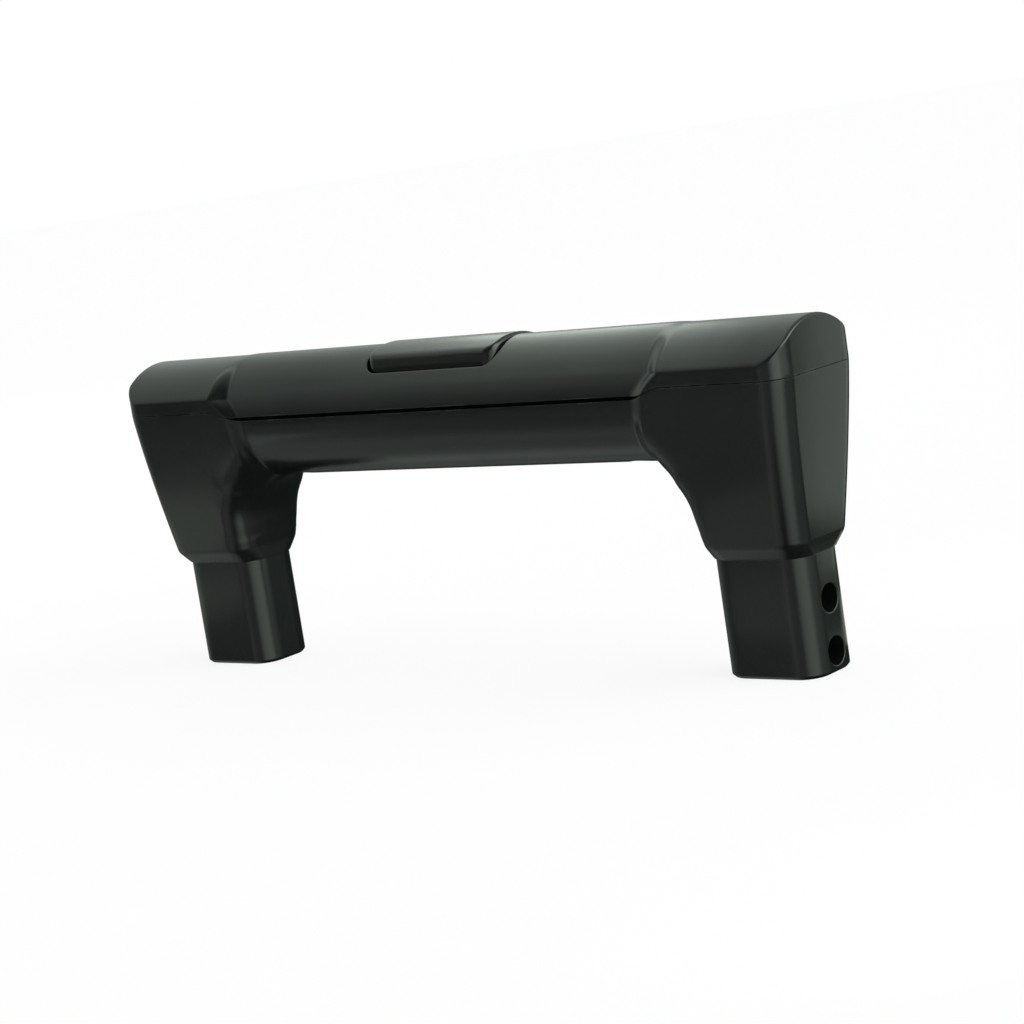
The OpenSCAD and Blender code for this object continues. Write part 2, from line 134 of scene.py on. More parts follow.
edge_steps, face_steps, outer_steps = 14, 14, 14
edge_turns = [math.radians(t) for t in steps(edge_steps, 0, 90)]


def leg_ring(a, b, inner_share, share, psi):
    """Ring from the inner point a to the outer point b, both as (x, z). A share is 1 for a leg and 0 for
    the round bar, and psi is how far round the outer edge b lies."""
    start = edge_radius / math.dist(a, b)

    def point(s, depth):
        x, z = mix(a[0], b[0], s), mix(a[1], b[1], s)
        round_depth = bar_half(mix(hand_height, b[1], s))
        return x, mix(round_depth, depth(x, z), mix(inner_share, share, smooth(s / start / 2))), z

    half = [point((1 - math.cos(t)) * start, lambda x, z, t=t: leg_front(z) - edge_radius * (1 - math.sin(t)))
            for t in edge_turns]
    run = face_steps + outer_steps + 1
    for k in range(1, run + 1):
        turn = mix(90, psi, (k - face_steps - 1) / outer_steps)
        x = leg_outer(b[1]) - edge_radius * (1 - math.cos(math.radians(max(psi, min(90, turn)))))
        reach = (x - a[0]) / (b[0] - a[0]) if psi < 90 else 1.0
        s = (mix(start, 1, k / run) if psi >= 90 else
             reach if k > face_steps else mix(start, reach, k / (face_steps + 1)))
        half.append(point(s, lambda x, z: leg_front(z) - round_off(max(0.0, leg_outer(z) - x), edge_radius)))
    return whole_ring(half)


def plug_ring(z, grown):
    """Ring round a plug at a height, grown on all sides, with as many points as a ring of the leg."""
    r = plug_corner + grown
    x0, x1 = plug_x - plug_width / 2 - grown, plug_x + plug_width / 2 + grown
    y = plug_depth / 2 + grown
    half = [(x0 + r * (1 - math.cos(t)), y - r * (1 - math.sin(t)), z) for t in edge_turns]
    half += [(mix(x0 + r, x1 - r, k / (face_steps + 1)), y, z) for k in range(1, face_steps + 1)]
    half += [(x1 - r * (1 - math.cos(t)), y - r * (1 - math.sin(t)), z)
             for t in [math.radians(degrees) for degrees in steps(outer_steps, 90, 0)]]
    return whole_ring(half)


# Angles round the inner arch, in degrees, at which the rings of the leg, of its upper corner and of its
# block end.
leg_turn, corner_turn, block_turn = 34, 44, 56


def arch_point(degrees):
    turn = math.radians(degrees)
    return arch_x + arch_radius * math.cos(turn), arch_z + arch_radius * math.sin(turn)


def blend_angle(x):
    """Angle round the arch of the ring that meets the parting line at x."""
    return mix(90, block_turn, max(0.0, x - arch_x) / (block_start - arch_x))


def underside_share(degrees):
    """Share of the leg in the underside, which turns slowly from round bar to leg round the arch."""
    return smooth((90 - degrees) / (90 - leg_turn))


def mirrored(rings):
    return [[(-x, y, z) for x, y, z in ring] for ring in reversed(rings)]


def loft(rings):
    """Closed shell through rings with equal counts of points."""
    shell = bmesh.new()
    rows = [[shell.verts.new(p) for p in ring] for ring in rings]
    count = len(rings[0])
    for low, high in zip(rows, rows[1:]):
        for j in range(count):
            k = (j + 1) % count
            shell.faces.new((low[j], low[k], high[k], high[j]))
    shell.faces.new(rows[0])
    shell.faces.new(rows[-1])
    bmesh.ops.remove_doubles(shell, verts=shell.verts, dist=1e-4)
    bmesh.ops.dissolve_degenerate(shell, edges=shell.edges, dist=1e-4)
    bmesh.ops.recalc_face_normals(shell, faces=shell.faces)
    return shell


def round_edges(shell, radius, wanted, least=25):
    """Rounds the edges sharper than `least` degrees whose middle is wanted."""
    edges = [e for e in shell.edges if len(e.link_faces) == 2
             and e.calc_face_angle() > math.radians(least) and wanted((e.verts[0].co + e.verts[1].co) / 2)]
    bmesh.ops.bevel(shell, geom=edges, offset=radius, segments=3, profile=0.5, affect="EDGES",
                    clamp_overlap=True)


def solid(name, shell):
    """Object in metres from a shell in millimetres."""
    bmesh.ops.scale(shell, vec=(0.001, 0.001, 0.001), verts=shell.verts)
    mesh = bpy.data.meshes.new(name)
    shell.to_mesh(mesh)
    shell.free()
    piece = bpy.data.objects.new(name, mesh)
    bpy.context.scene.collection.objects.link(piece)
    return piece


def circle(radius, sides):
    turns = [2 * math.pi * i / sides for i in range(sides)]
    return [(radius * math.cos(t), radius * math.sin(t)) for t in turns]


def turned(profile, place, axis="Z", sides=48):
    """Shell turned round an axis through the place, from a profile of (radius, height) from end to end."""
    shell = loft([[(x, y, height) for x, y in circle(radius, sides)] for radius, height in profile])
    turn = Matrix.Rotation(math.pi / 2, 4, "Y") if axis == "X" else Matrix.Identity(4)
    bmesh.ops.transform(shell, matrix=Matrix.Translation(place) @ turn, verts=shell.verts)
    return shell


def rounded_plan(x0, x1, y, r, corner=8):
    """Outline of a rectangle with rounded corners, symmetric front to back, as (x, y)."""
    middles = [(x0 + r, -y + r, 180), (x1 - r, -y + r, 270), (x1 - r, y - r, 0), (x0 + r, y - r, 90)]
    return [(mx + r * math.cos(math.radians(t)), my + r * math.sin(math.radians(t)))
            for mx, my, first in middles for t in steps(corner, first, first + 90)]


def block(x0, x1, y, z0, z1, r=0.4, edge=0.25):
    """Bar with rounded upright edges and chamfered ends, symmetric front to back."""
    levels = [(z0, edge), (z0 + edge, 0), (z1 - edge, 0), (z1, edge)]
    return loft([[(px, py, z) for px, py in rounded_plan(x0 + g, x1 - g, y - g, max(r - g, 0.05), 4)]
                 for z, g in levels])


def combine(piece, *work):
    """Adds or cuts shells in turn, as ("UNION" or "DIFFERENCE", shell), and keeps a plain mesh."""
    tools = []
    for number, (operation, shell) in enumerate(work):
        tools.append(solid(f"{piece.name}_tool_{number}", shell))
        modifier = piece.modifiers.new(f"{operation}_{number}", "BOOLEAN")
        modifier.operation = operation
        modifier.solver = "MANIFOLD"
        modifier.object = tools[-1]
    made = bpy.data.meshes.new_from_object(piece.evaluated_get(bpy.context.evaluated_depsgraph_get()))
    piece.modifiers.clear()
    piece.data = made
    for tool in tools:
        bpy.data.objects.remove(tool)


def finish_faces(piece, degrees=28):
    """Smooth faces with crisp corners. Large flat faces keep their own normals."""
    piece.data.shade_smooth()
    piece.data.set_sharp_from_angle(angle=math.radians(degrees))
    weighted = piece.modifiers.new("flat_faces", "WEIGHTED_NORMAL")
    weighted.keep_sharp = True
    weighted.weight = 80


leg_levels = ([(leg_inner(z), z) for z in steps(10, foot, arch_z)][:-1]
              + [arch_point(leg_turn * t) for t in steps(12)])
leg_heights = steps(10, foot, arch_z)[:-1] + steps(12, arch_z, block_parting)
lower_rings = [plug_ring(0, -plug_lead), plug_ring(plug_lead, 0), plug_ring(plug_length, 0),
               plug_ring(plug_length, ledge)]
lower_rings += [leg_ring(inner, (leg_outer(z), z), 1, 1, 0) for inner, z in zip(leg_levels, leg_heights)]
for t in steps(outer_steps)[1:]:
    angle = mix(leg_turn, corner_turn, t)
    outer = half_length - edge_radius * (1 - math.cos(math.radians(90 * t))), block_parting
    lower_rings.append(leg_ring(arch_point(angle), outer, underside_share(angle), 1, 90 * t))
for t in steps(6)[1:-1]:
    angle = mix(corner_turn, block_turn, t)
    outer = mix(half_length - edge_radius, block_start, t), block_parting
    lower_rings.append(leg_ring(arch_point(angle), outer, underside_share(angle), 1, 90))
for x in steps(40, block_start, min(bar_end, arch_x)):
    angle = blend_angle(x)
    inner = arch_point(angle) if x > arch_x else (x, hand_height)
    lower_rings.append(leg_ring(inner, (x, seam(x)), underside_share(angle), corner_share(x, 0), 90))

body_shell = loft(lower_rings + mirrored(lower_rings))
# Even out the soft waves that the turning rings leave round the arch.
arch_passes = 14
arch_zone = [v for v in body_shell.verts
             if arch_x - 8 < abs(v.co.x) < block_start + 3 and foot + 2 < v.co.z < parting - 1.5]
for _ in range(arch_passes):
    bmesh.ops.smooth_vert(body_shell, verts=arch_zone, factor=0.5, use_axis_x=True, use_axis_y=True,
                          use_axis_z=True)
round_edges(body_shell, seam_edge, lambda p: p.z > parting - 0.5)
round_edges(body_shell, plug_edge, lambda p: p.z < plug_length + 0.1)
round_edges(body_shell, shoulder_edge, lambda p: plug_length + 0.5 < p.z < foot + 0.5, 15)
lower_body = solid("lower_body_moulding", body_shell)


def bar_bore():
    """Oval hollow along the grip."""
    reach = block_start + wall
    return loft([[(x, bore_y * y, bar_mid + bore_z * z) for y, z in circle(1, 96)] for x in (-reach, reach)])


leg_floor = foot + wall / 2


def leg_hollow(side):
    """Hollow of a leg, one wall inside its faces and open at the top."""
    levels = steps(4, leg_floor, arch_z)[:-1] + steps(6, arch_z, block_parting + 1)
    return loft([[(side * px, py, z) for px, py in
                  rounded_plan(leg_inner(z) + wall, leg_outer(z) - wall, leg_front(z) - wall, wall)]
                 for z in levels])


head_hole, shank_hole, post_diameter, seat_diameter = 6.4, 3.4, 8.5, 8.0
bar_floor, screw_seat, post_top = 39.6, 41.14, 44.6
post_root, post_chamfer = bar_floor - 0.55, 0.3
spring_seat, spring_peg, lower_peg_top = 40.92, 4.6, 43.7
rod_guide, screw_offset, spring_offset = 4.6, 41.0, 28.0
hole_diameter, hole_depth, hole_height, hole_spacing = 5.0, 6.0, 3.7, 9.2


def flared_hole(radius, depth, lip=0.3):
    """Profile of a hole from its mouth at height 0 down to its floor, with a rounded lip at the mouth."""
    mouth = [(radius + lip * (1 - math.sin(t)), lip * (1 - math.cos(t)))
             for t in steps(5, 0, math.pi / 2)]
    return [(radius + lip, -1.0)] + mouth + [(radius, depth)]


def bar_surface(y):
    """Height of the round bar's top at a distance y from its middle."""
    return bar_mid + bar_height / 2 * math.sqrt(max(0.0, 1 - (y / (bar_depth / 2)) ** 2))


def screw_mouth(x, lip=0.3):
    """Hole for a screw head that follows the round underside of the bar with a rounded lip."""
    rings = []
    for t in steps(5, 0, math.pi / 2):
        ring = circle(head_hole / 2 + lip * (1 - math.sin(t)), 48)
        rings.append([(x + px, py, 2 * bar_mid - bar_surface(py) + lip * (1 - math.cos(t)))
                      for px, py in ring])
    below = [(px, py, hand_height - 2) for px, py, _ in rings[0]]
    above = [(px, py, screw_seat) for px, py, _ in rings[-1]]
    return loft([below] + rings + [above])


work = [("DIFFERENCE", bar_bore()), ("DIFFERENCE", leg_hollow(1)), ("DIFFERENCE", leg_hollow(-1))]
for side in (-1, 1):
    post = [(post_diameter / 2, post_root), (post_diameter / 2, post_top - post_chamfer),
            (post_diameter / 2 - post_chamfer, post_top)]
    seat = [(seat_diameter / 2, post_root), (seat_diameter / 2, spring_seat), (spring_peg / 2, spring_seat),
            (spring_peg / 2, lower_peg_top - 0.4), (spring_peg / 2 - 0.4, lower_peg_top)]
    work.append(("UNION", turned(post, (side * screw_offset, 0, 0))))
    work.append(("UNION", turned(seat, (side * spring_offset, 0, 0))))
for side in (-1, 1):
    work.append(("DIFFERENCE", screw_mouth(side * screw_offset)))
    shank = [(shank_hole / 2, screw_seat - 1), (shank_hole / 2, post_top + 1)]
    work.append(("DIFFERENCE", turned(shank, (side * screw_offset, 0, 0))))
    work.append(("DIFFERENCE", turned(flared_hole(rod_guide / 2, leg_floor + 1), (side * plug_x, 0, 0))))
    mouth = [(r, -side * h) for r, h in flared_hole(hole_diameter / 2, hole_depth, 0.2)]
    for level in (hole_height, hole_height + hole_spacing):
        work.append(("DIFFERENCE", turned(mouth, (side * (plug_x + plug_width / 2), 0, level), "X")))
combine(lower_body, *work)
finish_faces(lower_body)


def add(tree, kind, *inputs, **settings):
    """New node in a tree. Inputs fill its sockets in order, and settings fill a socket by its name, with
    spaces written as _, or set one of the node's own options. A socket as a value is linked."""
    node = tree.nodes.new(kind)
    for name in [n for n in settings if hasattr(node, n) and n not in node.inputs]:
        setattr(node, name, settings.pop(name))
    wires = list(zip([s for s in node.inputs if s.enabled], inputs))
    wires += [(node.inputs[name.replace("_", " ")], value) for name, value in settings.items()]
    for socket, value in wires:
        if isinstance(value, bpy.types.NodeSocket):
            tree.links.new(value, socket)
        elif value is not None:
            socket.default_value = value
    return node


def first(node):
    """First output of a node that is in use."""
    return next(s for s in node.outputs if s.enabled)


def new_group(name, inputs, outputs, tree_kind="ShaderNodeTree"):
    """Node group with named inputs as {name: (kind, value)} and outputs as {name: kind}."""
    group = bpy.data.node_groups.new(name, tree_kind)
    for label, (kind, value) in inputs.items():
        socket = group.interface.new_socket(label, in_out="INPUT", socket_type=f"NodeSocket{kind}")
        if value is not None:
            socket.default_value = value
    for label, kind in outputs.items():
        group.interface.new_socket(label, in_out="OUTPUT", socket_type=f"NodeSocket{kind}")
    return group, group.nodes.new("NodeGroupInput").outputs, group.nodes.new("NodeGroupOutput").inputs


def noise(tree, where, scale, detail=2.0, roughness=0.5):
    return first(add(tree, "ShaderNodeTexNoise", Vector=where, Scale=scale, Detail=detail,
                     Roughness=roughness))


def math_node(tree, operation, a, b=None):
    return first(add(tree, "ShaderNodeMath", a, b, operation=operation))


def ranged(tree, value, low, high, to_low=0.0, to_high=1.0, **options):
    """Value mapped from one range to another and held inside it."""
    return first(add(tree, "ShaderNodeMapRange", Value=value, From_Min=low, From_Max=high,
                     To_Min=to_low, To_Max=to_high, **options))


def tinted(tree, mask, below, above):
    """Colour between two, by a mask."""
    return first(add(tree, "ShaderNodeMix", mask, below, above, data_type="RGBA"))


# Edge wear: bright rubbed corners, found where a rounded normal departs from the real one
wear_group, given, result = new_group(
    "rubbed_edges", {"Radius": ("Float", 0.0006), "Amount": ("Float", 0.5)}, {"Mask": "Float"})
where = add(wear_group, "ShaderNodeTexCoord").outputs["Object"]
rounded = add(wear_group, "ShaderNodeBevel", Radius=given["Radius"], samples=6).outputs["Normal"]
true = add(wear_group, "ShaderNodeNewGeometry").outputs["Normal"]
turn = add(wear_group, "ShaderNodeVectorMath", rounded, true, operation="DOT_PRODUCT").outputs["Value"]
corner = ranged(wear_group, turn, 0.995, 0.86)
patchy = ranged(wear_group, noise(wear_group, where, 140, 4, 0.6), 0.42, 0.66)
mask = math_node(wear_group, "MULTIPLY", math_node(wear_group, "MULTIPLY", corner, patchy), given["Amount"])
wear_group.links.new(mask, result["Mask"])

# Moulded skin: cloudy flow of the melt, a fine orange-peel surface and hairline handling scratches
skin_group, given, result = new_group(
    "moulded_skin", {"Grain": ("Float", 2600.0), "Waves": ("Float", 160.0)},
    {"Cloud": "Float", "Scratches": "Float", "Height": "Float"})
where = add(skin_group, "ShaderNodeTexCoord").outputs["Object"]
cloud = ranged(skin_group, noise(skin_group, where, 38, 3, 0.55), 0.3, 0.7)
waves = noise(skin_group, where, given["Waves"], 1)
grain = noise(skin_group, where, given["Grain"], 2, 0.6)
hairs = None
for turn in ((0.3, 0.2, 0.5), (1.1, 0.4, -0.7)):
    along = add(skin_group, "ShaderNodeMapping", Vector=where, Rotation=turn, Scale=(12, 5200, 5200))
    hair = ranged(skin_group, noise(skin_group, along.outputs[0], 1.0, 2, 0.6), 0.68, 0.78)
    hairs = hair if hairs is None else math_node(skin_group, "MAXIMUM", hairs, hair)
thinned = ranged(skin_group, noise(skin_group, where, 55, 2), 0.5, 0.65)
scratches = math_node(skin_group, "MULTIPLY", hairs, thinned)
height = math_node(skin_group, "ADD", math_node(skin_group, "MULTIPLY", waves, 0.8),
                   math_node(skin_group, "MULTIPLY", grain, 0.2))
height = math_node(skin_group, "SUBTRACT", height, math_node(skin_group, "MULTIPLY", scratches, 0.05))
for label, value in (("Cloud", cloud), ("Scratches", scratches), ("Height", height)):
    skin_group.links.new(value, result[label])


def moulded_plastic(name, dark, light, worn, gloss, bump=0.00004, specular=0.5, wear=0.5):
    """Moulded plastic between two tones, with its gloss as (lowest, highest) roughness."""
    material = bpy.data.materials.new(name)
    material.use_nodes = True
    tree = material.node_tree
    shader = tree.nodes["Principled BSDF"]
    skin = add(tree, "ShaderNodeGroup", node_tree=skin_group)
    edges = add(tree, "ShaderNodeGroup", node_tree=wear_group)
    edges.inputs["Amount"].default_value = wear
    colour = tinted(tree, skin.outputs["Cloud"], dark, light)
    colour = tinted(tree, edges.outputs["Mask"], colour, worn)
    marks = math_node(tree, "MULTIPLY", skin.outputs["Scratches"], 0.08)
    rubbed = math_node(tree, "MULTIPLY", edges.outputs["Mask"], 0.2)
    rough = math_node(tree, "ADD", ranged(tree, skin.outputs["Cloud"], 0, 1, *gloss),
                      math_node(tree, "ADD", marks, rubbed))
    dents = add(tree, "ShaderNodeBump", Strength=0.5, Distance=bump, Height=skin.outputs["Height"])
    tree.links.new(colour, shader.inputs["Base Color"])
    tree.links.new(rough, shader.inputs["Roughness"])
    tree.links.new(dents.outputs["Normal"], shader.inputs["Normal"])
    shader.inputs["Specular IOR Level"].default_value = specular
    return material


def finish_piece(piece, material, body, nodes):
    """Gives a piece its material and its body, and hides the solids that it stands for."""
    piece.data.materials.clear()
    piece.data.materials.append(material)
    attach(piece, body)
    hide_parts(*nodes)


body_black = moulded_plastic("body_gloss_black", (0.0042, 0.0052, 0.0048, 1), (0.0064, 0.0078, 0.0072, 1),
                             (0.05, 0.053, 0.052, 1), (0.18, 0.25))
finish_piece(lower_body, body_black, "handle", ["lower_body"])


# Return springs.
# Two compression springs of bright steel wire stand on pegs in the lower body and lift the linkage bar.
# Their end turns lie close together. They are built at rest; the real springs shorten as the button goes
# down.
spring_diameter, spring_wire, spring_turns, end_turns = 7.4, 0.8, 4.0, 0.75
link_bottom, link_top = 49.5, 53.5

streak_group, given, result = new_group(
    "drawn_metal", {"Along": ("Vector", (900.0, 900.0, 40.0))}, {"Streaks": "Float", "Tarnish": "Float"})
where = add(streak_group, "ShaderNodeTexCoord").outputs["Object"]
along = add(streak_group, "ShaderNodeVectorMath", where, given["Along"], operation="MULTIPLY").outputs[0]
streak_group.links.new(noise(streak_group, along, 2.0, 3, 0.6), result["Streaks"])
tarnish = ranged(streak_group, noise(streak_group, where, 220, 3, 0.6), 0.45, 0.75)
streak_group.links.new(tarnish, result["Tarnish"])


def drawn_steel(name, bright, dull, gloss, along, bump=0.00002):
    """Steel with streaks along one way and dull patches, with its gloss as (lowest, highest) roughness."""
    material = bpy.data.materials.new(name)
    material.use_nodes = True
    tree = material.node_tree
    shader = tree.nodes["Principled BSDF"]
    surface = add(tree, "ShaderNodeGroup", node_tree=streak_group)
    surface.inputs["Along"].default_value = along
    dents = add(tree, "ShaderNodeBump", Strength=0.4, Distance=bump, Height=surface.outputs["Streaks"])
    tree.links.new(tinted(tree, surface.outputs["Tarnish"], bright, dull), shader.inputs["Base Color"])
    tree.links.new(ranged(tree, surface.outputs["Streaks"], 0.3, 0.7, *gloss), shader.inputs["Roughness"])
    tree.links.new(dents.outputs["Normal"], shader.inputs["Normal"])
    shader.inputs["Metallic"].default_value = 1.0
    return material


spring_steel = drawn_steel("bright_spring_wire", (0.60, 0.61, 0.62, 1), (0.42, 0.42, 0.41, 1), (0.18, 0.34),
                           (500.0, 500.0, 900.0))

coil_tree, given, result = new_group(
    "coil_spring",
    {"Place": ("Vector", (0.0, 0.0, 0.0)), "Coil Radius": ("Float", 0.0033), "Wire": ("Float", 0.0008),
     "Turns": ("Float", 4.0), "End Turns": ("Float", 0.75), "Rise": ("Float", 0.0078),
     "Finish": ("Material", None)},
    {"Geometry": "Geometry"}, "GeometryNodeTree")
line = add(coil_tree, "GeometryNodeCurvePrimitiveLine")
path = add(coil_tree, "GeometryNodeResampleCurve", line.outputs[0], Count=280)
turn = math_node(coil_tree, "MULTIPLY", add(coil_tree, "GeometryNodeSplineParameter").outputs["Factor"],
                 given["Turns"])
angle = math_node(coil_tree, "MULTIPLY", turn, 2 * math.pi)
closed = math_node(coil_tree, "MULTIPLY", given["End Turns"], given["Wire"])
both_ends = math_node(coil_tree, "MULTIPLY", given["End Turns"], 2.0)
open_turns = math_node(coil_tree, "SUBTRACT", given["Turns"], both_ends)
open_rise = math_node(coil_tree, "SUBTRACT", given["Rise"], math_node(coil_tree, "MULTIPLY", closed, 2.0))
pitch = math_node(coil_tree, "DIVIDE", open_rise, open_turns)
lower_end = math_node(coil_tree, "MULTIPLY", turn, given["Wire"])
middle = math_node(coil_tree, "ADD", closed, math_node(
    coil_tree, "MULTIPLY", math_node(coil_tree, "SUBTRACT", turn, given["End Turns"]), pitch))
upper_end = math_node(coil_tree, "SUBTRACT", given["Rise"], math_node(
    coil_tree, "MULTIPLY", math_node(coil_tree, "SUBTRACT", given["Turns"], turn), given["Wire"]))
climb = math_node(coil_tree, "MINIMUM", math_node(coil_tree, "MAXIMUM", lower_end, middle), upper_end)
sideways, forward = [math_node(coil_tree, "MULTIPLY", math_node(coil_tree, wave, angle), given["Coil Radius"])
                     for wave in ("COSINE", "SINE")]
point = add(coil_tree, "ShaderNodeCombineXYZ", sideways, forward, climb)
placed = add(coil_tree, "ShaderNodeVectorMath", point.outputs[0], given["Place"], operation="ADD")
coil = add(coil_tree, "GeometryNodeSetPosition", path.outputs[0], Position=placed.outputs[0])
round_wire = add(coil_tree, "GeometryNodeCurvePrimitiveCircle", Resolution=14,
                 Radius=math_node(coil_tree, "MULTIPLY", given["Wire"], 0.5))
wire = add(coil_tree, "GeometryNodeCurveToMesh", coil.outputs[0], round_wire.outputs[0], Fill_Caps=True)
shaded = add(coil_tree, "GeometryNodeSetShadeSmooth", wire.outputs[0])
whole = add(coil_tree, "GeometryNodeRealizeInstances", shaded.outputs[0])
coated = add(coil_tree, "GeometryNodeSetMaterial", whole.outputs[0], Material=given["Finish"])
coil_tree.links.new(coated.outputs[0], result["Geometry"])


def grown(name, tree, **values):
    """Plain mesh object from a node tree, with the tree's inputs given by name."""
    seedling = bpy.data.objects.new(name + "_tree", bpy.data.meshes.new(name + "_tree"))
    bpy.context.scene.collection.objects.link(seedling)
    modifier = seedling.modifiers.new(name, "NODES")
    modifier.node_group = tree
    for item in tree.interface.items_tree:
        label = item.name.replace(" ", "_")
        if item.in_out == "INPUT" and label in values:
            modifier[item.identifier] = values[label]
    made = bpy.data.meshes.new_from_object(seedling.evaluated_get(bpy.context.evaluated_depsgraph_get()))
    bpy.data.objects.remove(seedling)
    piece = bpy.data.objects.new(name, made)
    bpy.context.scene.collection.objects.link(piece)
    return piece


spring_length = link_bottom - spring_seat
for side, hand in ((-1, "left"), (1, "right")):
    spring = grown(f"return_spring_{hand}_coil", coil_tree,
                   Place=(side * spring_offset / 1000, 0, (spring_seat + spring_wire / 2) / 1000),
                   Coil_Radius=(spring_diameter - spring_wire) / 2000, Wire=spring_wire / 1000,
                   Turns=spring_turns, End_Turns=end_turns, Rise=(spring_length - spring_wire) / 1000,
                   Finish=spring_steel)
    finish_piece(spring, spring_steel, "handle", [f"return_spring_{hand}"])
    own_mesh(spring)


# Linkage bar.
# A flat bar of plain dark plastic inside the grip. Slots pass it round the screw bosses, the button's
# legs snap through two more, and pegs underneath hold the springs.
plain_dark = moulded_plastic("link_plain_dark", (0.035, 0.035, 0.036, 1), (0.05, 0.05, 0.05, 1),
                             (0.12, 0.12, 0.12, 1), (0.45, 0.58), bump=0.00005)
link_half, link_width, link_end_width, wide_half = 70.0, 14.0, 10.0, 47.3
boss_diameter, snap_offset = 6.4, 10.0
rod_diameter, rod_recess = 4.0, 5.5

link_shell = block(-link_half, link_half, link_end_width / 2, link_bottom, link_top, 2.0)
link = solid("linkage_bar_moulding", link_shell)
work = [("UNION", block(-wide_half, wide_half, link_width / 2, link_bottom, link_top, 1.0))]
for side in (-1, 1):
    peg = [(spring_peg / 2 - 0.3, link_bottom - 1.2), (spring_peg / 2, link_bottom - 0.9),
           (spring_peg / 2, link_bottom + 1)]
    work.append(("UNION", turned(peg, (side * spring_offset, 0, 0))))
    boss_slot = screw_offset, boss_diameter + 1.8, boss_diameter + 1.2
    snap_slot = snap_offset, 2.6, 4.6
    for centre, length, width in (boss_slot, snap_slot):
        work.append(("DIFFERENCE", block(side * centre - length / 2, side * centre + length / 2, width / 2,
                                         link_bottom - 2, link_top + 2, 0.4)))
    rod_hole = [(rod_diameter / 2, link_bottom - 1), (rod_diameter / 2, link_top + 1)]
    work.append(("DIFFERENCE", turned(rod_hole, (side * plug_x, 0, 0))))
combine(link, *work)
finish_faces(link)
finish_piece(link, plain_dark, "release", ["linkage_bar"])


# Push rods.
# A zinc plated steel rod is pressed into each end of the linkage bar and runs down through its leg
# and plug. Its rounded tip works the lock inside the tube.
rod_tip, rod_chamfer = 0.8, 0.3
rod_steel = drawn_steel("zinc_plated_rod", (0.55, 0.56, 0.57, 1), (0.40, 0.40, 0.38, 1), (0.26, 0.42),
                        (900.0, 900.0, 40.0))
for side, hand in ((-1, "left"), (1, "right")):
    r = rod_diameter / 2
    tip = [(r - rod_tip * (1 - math.cos(t)), rod_recess + rod_tip * (1 - math.sin(t)))
           for t in steps(5, math.pi / 2, 0)]
    top = [(r, link_top - rod_chamfer), (r - rod_chamfer, link_top)]
    rod_shell = turned(tip + top, (side * plug_x, 0, 0), sides=40)
    rod = solid(f"push_rod_{hand}_steel", rod_shell)
    finish_faces(rod)
    finish_piece(rod, rod_steel, "release", [f"push_rod_{hand}"])


# Release button.
# A crowned black pad with upright sides in the middle of the grip. Its two legs snap into the linkage
# bar, a rib carries the press, and a tab at each end keeps it under the cover.
button_length, button_half_y, button_lean = 31.0, 7.8, 0.3
button_crown, button_corner, button_rim, button_wall = 17.0, 2.5, 0.8, 1.6
button_foot, button_top = 54.7, 61.8
button_gap = 0.5
tab_length, tab_width = 2.4, 6.0


def crown_height(y, r, top):
    """Height at y of a round crown with radius r."""
    return top - r + math.sqrt(r * r - y * y)


def across(x, half):
    """Whole section at x from its half, which is given as (y, z) from the back up to the crest."""
    return [(x, y, z) for y, z in half] + [(x, -y, z) for y, z in reversed(half[:-1])]


def button_half(d, half_y):
    """Half section of the button at a distance d from its end, from the foot up to the crest."""
    top = button_top - round_off(d, button_rim)
    shoulder = bar_surface(button_half_y)
    edge_y = half_y - button_lean
    edge = Vector((edge_y, crown_height(edge_y, button_crown, top)))
    below = edge.lerp(Vector((half_y, shoulder)), button_rim / (edge.y - shoulder))
    beside = Vector((edge_y - button_rim, crown_height(edge_y - button_rim, button_crown, top)))
    rim = [tuple(below.lerp(edge, t).lerp(edge.lerp(beside, t), t)) for t in steps(6)]
    sweep = math.asin(beside.x / button_crown)
    crown_ys = [button_crown * math.sin(a) for a in steps(24, sweep, 0)[1:]]
    side_line = [(half_y, button_foot), (half_y, shoulder - 0.3)]
    bend = [tuple(Vector((half_y, shoulder - 0.3)).lerp(Vector((half_y, shoulder)), t).lerp(
        Vector((half_y, shoulder)).lerp(below, 0.25 * t), t)) for t in (0.35, 0.7, 1.0)]
    return side_line + bend + rim + [(y, crown_height(y, button_crown, top)) for y in crown_ys]


button_sections = []
for psi in steps(16, 90, 0):
    d = button_corner * (1 - math.cos(math.radians(psi)))
    half_y = button_half_y - button_corner * (1 - math.sin(math.radians(psi)))
    button_sections.append(across(button_length / 2 - d, button_half(d, half_y)))
button_shell = loft(mirrored(button_sections) + button_sections)
round_edges(button_shell, 0.2, lambda p: p.z < button_foot + 0.1)
button = solid("release_button_pad", button_shell)

